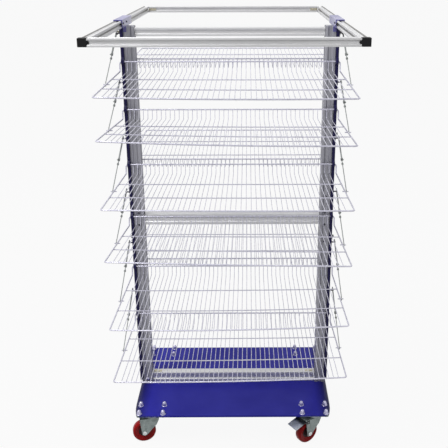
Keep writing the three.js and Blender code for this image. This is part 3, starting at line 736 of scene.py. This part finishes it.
# %% Hang the stays
for face, side, number in stay_places:
    name = f"{face}_{side}_stay_{number}"
    peg, pin = stay_line(face, side, number)
    lean = math.atan2(pin.z - peg.z, abs(pin.y - peg.y))
    facing = Matrix.Translation(peg) @ Matrix.Rotation(FACE_TURNS[face], 4, "Z")
    place = facing @ Matrix.Rotation(lean, 4, "X")
    shape = stay_shape.copy()
    put_at(shape, place)
    new_piece(f"{name}_wire", shape, stay_zinc, name, [name])
    knot = place @ Vector((0, stay_length * (1 - HAIRPIN_SHARE) + KNOT_PIN_RISE, 0))
    shape = bmesh.new()
    wire(shape, [knot + OUTWARD[side] * end for end in KNOT_PIN], KNOT_PIN_RADIUS)
    new_piece(f"{name}_knot_pin", shape, stay_zinc, name)
stay_shape.free()
print("stays hung:", len(stay_places))

# %% [markdown]
# ## Stay pins
# The hairpins slide on short pins that stand out of the side strips. The solid strips have plain pins, so
# each one gets a dark steel sleeve with a rounded end, turned on a lathe.

# %% Sleeves on the stay pins
PIN_SLEEVE = ((2.25, 0), (2.25, 11.6), (1.6, 12.4), (0, 12.6))
STRIP_OUT = 9 * MM
strip_face = {"left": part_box("left_post")[0].x - STRIP_OUT, "right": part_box("right_post")[1].x + STRIP_OUT}
for side in SIDES:
    shape = bmesh.new()
    for face, number in shelf_places:
        pin = stay_line(face, side, number)[1]
        lathe(shape, PIN_SLEEVE, (strip_face[side], pin.y, pin.z), OUTWARD[side], steps=10)
    new_piece(f"{side}_stay_pins", shape, dark_steel, ROOT)
print("strip faces at", {side: round(x * 1000, 1) for side, x in strip_face.items()})

# %% [markdown]
# ## Platform
# The platform is one sheet of painted steel. Its long sides are rolled down and its front and back have a
# short sharp lip, and towards the corners the plan narrows and the roll runs out. A quarter is enough: an
# arc is spun for the rolled side, joined to the middle, pulled along Y in steps that narrow, turned down at
# the end, and mirrored twice. Solidify then gives the sheet its thickness.

# %% Draw the platform
ROLL = 16 * MM
ROLL_DROP = 12 * MM
LIP = 6 * MM
SHEET = 2.2 * MM
CORNER_LENGTH = 80 * MM
CORNER_IN = 18 * MM
CORNER_LINE = ((0.0, 0.0), (0.3, 0.06), (0.5, 0.18), (0.75, 0.38), (0.94, 0.62), (0.98, 0.76), (1.0, 0.98))
MERGE_WITHIN = 0.01 * MM
platform_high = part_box("base_platform")[1]
platform_top = platform_high.z


def draw_platform():
    shape = bmesh.new()
    half_x, half_y = platform_high.x, platform_high.y
    from_top = Matrix.Translation((0, 0, -platform_top))
    edge = shape.verts.new((half_x, 0, platform_top - ROLL))
    made = bmesh.ops.spin(shape, geom=[edge], cent=(half_x - ROLL, 0, platform_top - ROLL), axis=(0, -1, 0),
                          angle=math.pi / 2, steps=6, use_merge=False)
    bmesh.ops.scale(shape, verts=shape.verts[:], vec=(1, 1, ROLL_DROP / ROLL), space=from_top)
    last = extruded(made["geom_last"], bmesh.types.BMVert)
    middle = extruded(bmesh.ops.extrude_vert_indiv(shape, verts=last)["verts"], bmesh.types.BMVert)
    bmesh.ops.translate(shape, verts=middle, vec=(-middle[0].co.x, 0, 0))
    row, here, width, drop = shape.edges[:], 0.0, half_x, ROLL_DROP
    for along, inward in CORNER_LINE:
        there = half_y - CORNER_LENGTH * (1 - along)
        narrower = half_x - CORNER_IN * inward
        shallower = ROLL_DROP + (LIP - ROLL_DROP) * inward
        row = run_on(shape, row, (0, there - here, 0))
        bmesh.ops.scale(shape, verts=verts_of(row),
                        vec=(narrower / width, 1, shallower / drop), space=from_top)
        here, width, drop = there, narrower, shallower
    row = run_on(shape, row, (0, 0, 0))
    for vert in verts_of(row):
        vert.co.z = min(vert.co.z, platform_top - LIP)
    for axis in ("X", "Y"):
        bmesh.ops.mirror(shape, geom=everything(shape), axis=axis, merge_dist=MERGE_WITHIN)
    bmesh.ops.remove_doubles(shape, verts=shape.verts[:], dist=MERGE_WITHIN)
    bmesh.ops.recalc_face_normals(shape, faces=shape.faces[:])
    bmesh.ops.solidify(shape, geom=shape.faces[:], thickness=SHEET)
    return shape


platform_shape = draw_platform()
print("platform z mm:", [round(f(v.co.z for v in platform_shape.verts) * 1000, 2) for f in (min, max)],
      "CAD top mm:", round(platform_top * 1000, 2))
new_piece("platform_sheet", platform_shape, blue_paint, ROOT, ["base_platform"])

# %% [markdown]
# ## Castor plates and dome nuts
# Each castor hangs from a zinc plate under the sheet, held by four bolts. Their heads are below, and a
# washer and a dome nut stand above. A nut is a six-sided prism with a turned dome on it, and the four of
# one castor make one piece.

# %% Plates, bolts and nuts
PLATE_HALF = (46 * MM, 33 * MM)
PLATE_LEVELS = (103.1 * MM, 105.9 * MM)
PLATE_ROUNDING = 0.8 * MM
BOLT_APART = (38.35 * MM, 23.75 * MM)
WASHER = ((4, 0.05), (8.5, 0.05), (8.5, 1.3), (8.0, 1.7), (6, 1.7))
NUT_RADIUS, NUT_LEVELS = 7.4 * MM, (1.6 * MM, 8.0 * MM)
DOME = ((5.9, 7.6), (5.9, 10.4), (5.2, 13.0), (3.2, 15.2), (0, 16.0))
BOLT_HEAD = ((0, -5.0), (4.2, -4.9), (5.6, -4.0), (6.0, -2.6), (6.0, 0))


def dome_nut(shape, foot):
    lathe(shape, WASHER, foot, (0, 0, 1), steps=14)
    height = NUT_LEVELS[1] - NUT_LEVELS[0]
    place = Matrix.Translation(foot + Vector((0, 0, sum(NUT_LEVELS) / 2)))
    hexagon(shape, NUT_RADIUS, height, place)
    lathe(shape, DOME, foot, (0, 0, 1), steps=14)


for corner in CORNERS:
    swivel = joint_place(f"{corner}_castor_swivel")
    plate, nuts = bmesh.new(), bmesh.new()
    soft_box(plate, (swivel.x - PLATE_HALF[0], swivel.y - PLATE_HALF[1], PLATE_LEVELS[0]),
             (swivel.x + PLATE_HALF[0], swivel.y + PLATE_HALF[1], PLATE_LEVELS[1]), PLATE_ROUNDING)
    for sx in (-1, 1):
        for sy in (-1, 1):
            spot = Vector((swivel.x + sx * BOLT_APART[0], swivel.y + sy * BOLT_APART[1], 0))
            lathe(plate, BOLT_HEAD, spot + Vector((0, 0, PLATE_LEVELS[0])), (0, 0, 1), steps=12)
            dome_nut(nuts, spot + Vector((0, 0, platform_top)))
    new_piece(f"{corner}_castor_plate", plate, castor_zinc, ROOT)
    new_piece(f"{corner}_dome_nuts", nuts, dome_zinc, ROOT)
print("castor plates and nuts:", 2 * len(CORNERS))

# %% [markdown]
# ## Forks
# A fork is pressed from sheet: a channel with rounded bends, whose two legs taper and end round the axle.
# The channel starts as a box without its ends and its floor. Its two long edges are bevelled into bends,
# planes cut the taper, and Solidify turns it into sheet. It is drawn trailing towards +X from the swivel. The
# braked fork also carries the pedal's pin.

# %% Draw a fork
FORK_LOW = Vector((-20, -17.5, 26)) * MM
FORK_HIGH = Vector((42, 17.5, 88.5)) * MM
FORK_BEND = 6 * MM
FORK_SHEET = 2.5 * MM
AXLE_PLACE = Vector((28, 0, 37.5)) * MM
AXLE_RADIUS = 5 * MM
FOOT_RADIUS = 11 * MM
FOOT_ANGLES = range(-127, -10, 10)
SIDE_CUTS = (((-20, 0, 82), (-22, 0, -10)), ((-10, 0, 61.7), (-32, 0, -30)), ((42, 0, 79.7), (50, 0, -6)))
AXLE_NUT_RADIUS, AXLE_NUT_DEPTH = 7.4 * MM, 4.4 * MM
BOLT_END = ((4.4, 0), (4.4, 1.0), (3.2, 1.5), (0, 1.5))


def draw_fork():
    shape = bmesh.new()
    plain_box(shape, FORK_LOW, FORK_HIGH)
    shape.normal_update()
    gone = [f for f in shape.faces if abs(f.normal.x) > 0.9 or f.normal.z < -0.9]
    bmesh.ops.delete(shape, geom=gone, context="FACES")
    bends = [e for e in shape.edges if min(v.co.z for v in e.verts) > FORK_HIGH.z - MM
             and abs(e.verts[0].co.x - e.verts[1].co.x) > MM]
    round_off(shape, bends, FORK_BEND, segments=5)
    cuts = [(Vector(point) * MM, Vector(normal).normalized()) for point, normal in SIDE_CUTS]
    for degrees in FOOT_ANGLES:
        outward = Vector((math.cos(math.radians(degrees)), 0, math.sin(math.radians(degrees))))
        cuts.append((AXLE_PLACE + outward * FOOT_RADIUS, outward))
    for point, normal in cuts:
        bmesh.ops.bisect_plane(shape, geom=everything(shape), plane_co=point,
                               plane_no=normal, clear_outer=True)
    bmesh.ops.solidify(shape, geom=shape.faces[:], thickness=FORK_SHEET)
    return shape


def add_axle(shape):
    """The axle with a nut and a bolt end on each side."""
    reach = Vector((0, FORK_HIGH.y, 0))
    wire(shape, [AXLE_PLACE - reach, AXLE_PLACE + reach], AXLE_RADIUS, sides=16)
    for way in (-1, 1):
        outward = Vector((0, way, 0))
        facing = Matrix.Rotation(-way * math.pi / 2, 4, "X")
        middle = AXLE_PLACE + outward * (FORK_HIGH.y + AXLE_NUT_DEPTH / 2)
        hexagon(shape, AXLE_NUT_RADIUS, AXLE_NUT_DEPTH, Matrix.Translation(middle) @ facing)
        lathe(shape, BOLT_END, AXLE_PLACE + outward * (FORK_HIGH.y + AXLE_NUT_DEPTH), outward, steps=12)


fork_shape = draw_fork()
print("fork across mm:", [round(f(v.co.y for v in fork_shape.verts) * 1000, 2) for f in (min, max)],
      "top mm:", round(max(v.co.z for v in fork_shape.verts) * 1000, 2))

# %% Put the forks in place
PEDAL_PIN = [Vector((36, y, 83.7)) * MM for y in (-20.7, 20.7)]
PEDAL_PIN_RADIUS = 2 * MM
for corner in CORNERS:
    swivel = joint_place(f"{corner}_castor_swivel")
    trail = joint_place(f"{corner}_castor_roll") - swivel
    heading = Matrix.Rotation(math.atan2(trail.y, trail.x), 4, "Z")
    place = Matrix.Translation((swivel.x, swivel.y, 0)) @ heading
    sheet, axle = fork_shape.copy(), bmesh.new()
    add_axle(axle)
    if f"{corner}_brake_pedal" in nodes:
        wire(sheet, PEDAL_PIN, PEDAL_PIN_RADIUS, sides=10)
    put_at(sheet, place)
    put_at(axle, place)
    fork = f"{corner}_castor_fork"
    soften(new_piece(f"{corner}_fork_sheet", sheet, castor_zinc, fork, [fork]), EDGE_ROUNDING)
    soften(new_piece(f"{corner}_axle", axle, axle_zinc, fork), EDGE_ROUNDING)
fork_shape.free()
print("forks placed:", len(CORNERS))

# %% [markdown]
# ## Wheels
# A wheel is a red tyre with soft shoulders and dished sides on a dark hub. Both are lines turned round the
# axle, which the solid model's joint gives, and together they stand for the faceted wheel. The swivel race
# above the fork is turned in the same way.

# %% Tyres, hubs and swivel races
TYRE_HALF = ((19, 6.5), (25, 8.2), (28.5, 10.8), (31, 12.3), (33.5, 12), (36.2, 10), (37.4, 6.5))
TREAD_MIDDLE = (37.5, 0)
HUB_HALF = ((5.7, 12.8), (12.2, 12.8), (13, 12), (13.6, 7), (18.9, 6.3))
RACE = ((0, -14.6), (21, -14.6), (24.6, -10.5), (25.6, -7.5), (25.0, -4.6), (23.6, -3.4), (25.4, -2.4),
        (25.4, -0.6), (0, -0.4))
RACE_GAP = 0.3 * MM


def both_sides(half, *middle):
    """A closed line from one half of a profile and its mirror image."""
    mirrored = tuple((radius, -along) for radius, along in half)
    return mirrored + middle + half[::-1] + mirrored[:1]


for corner in CORNERS:
    roll = joints[f"{corner}_castor_roll"]
    centre, axis = Vector(roll["pos_m"]), Vector(roll["axis"]).normalized()
    wheel = f"{corner}_castor_wheel"
    tyre, hub, race = bmesh.new(), bmesh.new(), bmesh.new()
    lathe(tyre, both_sides(TYRE_HALF, TREAD_MIDDLE), centre, axis, steps=48)
    lathe(hub, both_sides(HUB_HALF), centre, axis, steps=36)
    swivel = joint_place(f"{corner}_castor_swivel")
    lathe(race, RACE, (swivel.x, swivel.y, PLATE_LEVELS[0] - RACE_GAP), (0, 0, 1), steps=32)
    new_piece(f"{corner}_tyre", tyre, red_tyre, wheel, [wheel])
    new_piece(f"{corner}_hub", hub, dark_hub, wheel)
    new_piece(f"{corner}_swivel_race", race, castor_zinc, f"{corner}_castor_fork")
print("wheels made:", len(CORNERS))

# %% [markdown]
# ## Wing screws and saddle screws
# A wing screw under each saddle clamps it, and small dark screws hold the saddle's inner leg. A wing screw
# is a turned stem and collar with two flat wings, drawn along +X and turned to its side.

# %% Screws at the top
WING_STEM = ((2.6, 0), (2.6, 5), (4.2, 5.6), (4.2, 8.6), (2.4, 9.2), (0, 9.3))
WING_LENGTH, WING_SPREAD = 8.5 * MM, math.radians(48)
WING_HALF = Vector((0, 1.3, 1.9)) * MM
WING_ROUNDING, WING_OUT = 1.2 * MM, 7.6 * MM
WING_LEVEL = 1287 * MM
SADDLE_SCREW = ((2.9, 0), (2.7, 1.4), (1.6, 2.0), (0, 2.1))
SADDLE_SCREW_YS = {"left": (-103 * MM, -68 * MM, -10 * MM), "right": (-145 * MM, -104 * MM, -61 * MM)}
SADDLE_SCREW_LEVEL = 1319 * MM


def draw_wing_screw():
    shape = bmesh.new()
    lathe(shape, WING_STEM, (0, 0, 0), (1, 0, 0), steps=14)
    for spread in (-WING_SPREAD, WING_SPREAD):
        before = set(shape.verts)
        soft_box(shape, -WING_HALF, WING_HALF + Vector((WING_LENGTH, 0, 0)), WING_ROUNDING, 3)
        wing = [v for v in shape.verts if v not in before]
        bmesh.ops.rotate(shape, verts=wing, cent=(0, 0, 0), matrix=Matrix.Rotation(spread, 3, "Y"))
        bmesh.ops.translate(shape, verts=wing, vec=(WING_OUT, 0, 0))
    return shape


for side, turn in (("right", 0.0), ("left", math.pi)):
    shape = draw_wing_screw()
    place = Matrix.Translation((strip_face[side], 0, WING_LEVEL)) @ Matrix.Rotation(turn, 4, "Z")
    put_at(shape, place)
    new_piece(f"{side}_wing_screw_turned", shape, dark_brass, ROOT, [f"{side}_wing_screw"])
    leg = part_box(f"{side}_saddle")[0 if side == "right" else 1].x
    screws = bmesh.new()
    for y in SADDLE_SCREW_YS[side]:
        lathe(screws, SADDLE_SCREW, (leg, y, SADDLE_SCREW_LEVEL), -OUTWARD[side], steps=10)
    new_piece(f"{side}_saddle_screws", screws, dark_steel, ROOT)
print("wing screws at z mm", round(WING_LEVEL * 1000))

# %% [markdown]
# ## Small fittings on the aluminium
# Screws sit in the front and rear grooves of the posts, with a paler bolt at each foot. Yellow zinc
# connectors show on the base bar and at the ends of the rear tube, and a black spigot of each end block
# points into the groove of the front tube.

# %% Groove screws, connectors and spigots
GROOVE_DEPTH = 3.5 * MM
GROOVE_SCREW = ((3.6, 0), (3.4, 1.6), (2.2, 2.4), (0, 2.6))
GROOVE_SCREW_LEVELS = (783 * MM, 730 * MM, 689 * MM, 632 * MM)
FOOT_BOLT = ((5.0, 0), (4.8, 2.2), (3.2, 3.8), (0, 4.2))
FOOT_BOLT_LEVEL = 122 * MM
for side in SIDES:
    low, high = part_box(f"{side}_post")
    screws, bolt = bmesh.new(), bmesh.new()
    for face_y, way in ((low.y + GROOVE_DEPTH, -1), (high.y - GROOVE_DEPTH, 1)):
        for level in GROOVE_SCREW_LEVELS:
            lathe(screws, GROOVE_SCREW, ((low.x + high.x) / 2, face_y, level), (0, way, 0), steps=10)
        lathe(bolt, FOOT_BOLT, ((low.x + high.x) / 2, face_y, FOOT_BOLT_LEVEL), (0, way, 0), steps=12)
    new_piece(f"{side}_post_screws", screws, dark_steel, ROOT)
    new_piece(f"{side}_foot_bolts", bolt, dome_zinc, ROOT)

BAR_CONNECTOR_ENDS, BAR_CONNECTOR_HALF = (32 * MM, 4 * MM), 6 * MM
BAR_CONNECTOR_LEVELS = (-0.5 * MM, 1.6 * MM)
TUBE_CONNECTOR_LENGTH, TUBE_CONNECTOR_HALF = 26 * MM, 3.4 * MM
TUBE_CONNECTOR_SINK = 0.8 * MM
BAR_CONNECTOR_ROUNDING, TUBE_CONNECTOR_ROUNDING = 0.9 * MM, 0.8 * MM
SPIGOT_RADII, SPIGOT_LENGTH, SPIGOT_IN = (4.6 * MM, 2.0 * MM), 5.6 * MM, 2.4 * MM
SPIGOT_FLATNESS = 0.3
bar_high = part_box("base_bar")[1]
tube_low, tube_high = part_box("frame_rear_tube")
front_low, front_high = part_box("frame_front_tube")
middle = (tube_low.z + tube_high.z) / 2
spigot_y = front_low.y + GROOVE_DEPTH / 2
for side, sign in (("left", -1), ("right", 1)):
    connectors, spigot = bmesh.new(), bmesh.new()
    ends = sorted(sign * (bar_high.x - end) for end in BAR_CONNECTOR_ENDS)
    low, high = (bar_high.z + level for level in BAR_CONNECTOR_LEVELS)
    soft_box(connectors, (ends[0], -BAR_CONNECTOR_HALF, low), (ends[1], BAR_CONNECTOR_HALF, high),
             BAR_CONNECTOR_ROUNDING)
    ends = sorted((sign * (tube_high.x - TUBE_CONNECTOR_LENGTH), sign * tube_high.x))
    soft_box(connectors, (ends[0], tube_low.y + TUBE_CONNECTOR_SINK, middle - TUBE_CONNECTOR_HALF),
             (ends[1], tube_low.y + GROOVE_DEPTH, middle + TUBE_CONNECTOR_HALF), TUBE_CONNECTOR_ROUNDING)
    new_piece(f"{side}_slot_connectors", connectors, yellow_zinc, ROOT)
    tip = Matrix.Translation((sign * (front_high.x - SPIGOT_IN), spigot_y, middle))
    facing = Matrix.Rotation(-sign * math.pi / 2, 4, "Y")
    made = bmesh.ops.create_cone(spigot, cap_ends=True, segments=16, radius1=SPIGOT_RADII[0],
                                 radius2=SPIGOT_RADII[1], depth=SPIGOT_LENGTH, matrix=tip @ facing)
    bmesh.ops.scale(spigot, verts=made["verts"], vec=(1, SPIGOT_FLATNESS, 1),
                    space=Matrix.Translation((0, -spigot_y, 0)))
    new_piece(f"{side}_block_spigot", spigot, black_block, ROOT)
print("small fittings made")

# %% [markdown]
# ## Floor and light
# The floor is a pale plane that keeps a soft shadow. It shows nearly white to the camera and in the metal,
# through the Light Path node, so that no extra light falls on the rack. The world is a soft gradient,
# bright above and greyer low down, and two large lamps add direction, most of it from above and the left.

# %% Floor, world and lamps
FLOOR_HALF = 30.0
FLOOR_GAP = 0.5 * MM
FLOOR_WHITE = 0.93
FLOOR_GREY = (0.4, 0.4, 0.4, 1)
WHITE = (1, 1, 1, 1)
ROOM_LOW, ROOM_HIGH = (0.2, 0.2, 0.21, 1), (0.56, 0.56, 0.57, 1)
ROOM_LEVELS = (-0.1, 0.75)


def seen_rays(tree):
    """One for rays that see the background: straight, mirrored or through glass."""
    rays = add_node(tree, "ShaderNodeLightPath")
    plain = add_math(tree, "MAXIMUM", rays.outputs["Is Camera Ray"], rays.outputs["Is Glossy Ray"])
    return add_math(tree, "MAXIMUM", plain, rays.outputs["Is Transmission Ray"])


def fresh_tree(holder):
    holder.use_nodes = True
    holder.node_tree.nodes.clear()
    return holder.node_tree


def put_blend(tree, factor, plain, seen, output):
    """Puts out one shader for the rays that see the background, and another for the rest."""
    blend = add_node(tree, "ShaderNodeMixShader", {0: factor, 1: plain.outputs[0], 2: seen.outputs[0]})
    add_node(tree, output, {"Surface": blend.outputs[0]})


floor_shape = bmesh.new()
bmesh.ops.create_grid(floor_shape, x_segments=2, y_segments=2, size=FLOOR_HALF)
floor = new_mesh_object("floor", floor_shape)
floor.location.z = -FLOOR_GAP

floor_finish = bpy.data.materials.new("pale_floor")
tree = fresh_tree(floor_finish)
matt = add_node(tree, "ShaderNodeBsdfDiffuse", {"Color": FLOOR_GREY})
glow = add_node(tree, "ShaderNodeEmission", {"Color": WHITE})
share = add_math(tree, "MULTIPLY", seen_rays(tree), FLOOR_WHITE)
put_blend(tree, share, matt, glow, "ShaderNodeOutputMaterial")
floor.data.materials.append(floor_finish)

world = bpy.data.worlds.new("soft_room")
bpy.context.scene.world = world
tree = fresh_tree(world)
sky = add_node(tree, "ShaderNodeTexCoord").outputs["Generated"]
parts = add_node(tree, "ShaderNodeSeparateXYZ", {0: sky})
lift = add_range(tree, parts.outputs["Z"], 0.0, 1.0, *ROOM_LEVELS)
tone = add_mix(tree, lift, ROOM_LOW, ROOM_HIGH)
room = add_node(tree, "ShaderNodeBackground", {"Color": tone})
white = add_node(tree, "ShaderNodeBackground", {"Color": WHITE})
put_blend(tree, seen_rays(tree), room, white, "ShaderNodeOutputWorld")


def add_lamp(name, place, target, size, watts):
    data = bpy.data.lights.new(name, "AREA")
    data.size = size
    data.energy = watts
    lamp = new_object(name, data)
    lamp.location = place
    aim = Vector(target) - Vector(place)
    lamp.rotation_mode = "QUATERNION"
    lamp.rotation_quaternion = aim.to_track_quat("-Z", "Y")


add_lamp("key_lamp", place=(-1.7, -1.5, 4.4), target=(0, 0, 0.8), size=2.2, watts=140)
add_lamp("fill_lamp", place=(3.0, -2.4, 2.4), target=(0, 0, 0.7), size=2.4, watts=10)
bpy.context.scene.view_settings.view_transform = "Standard"
print("floor, world and lamps ready")
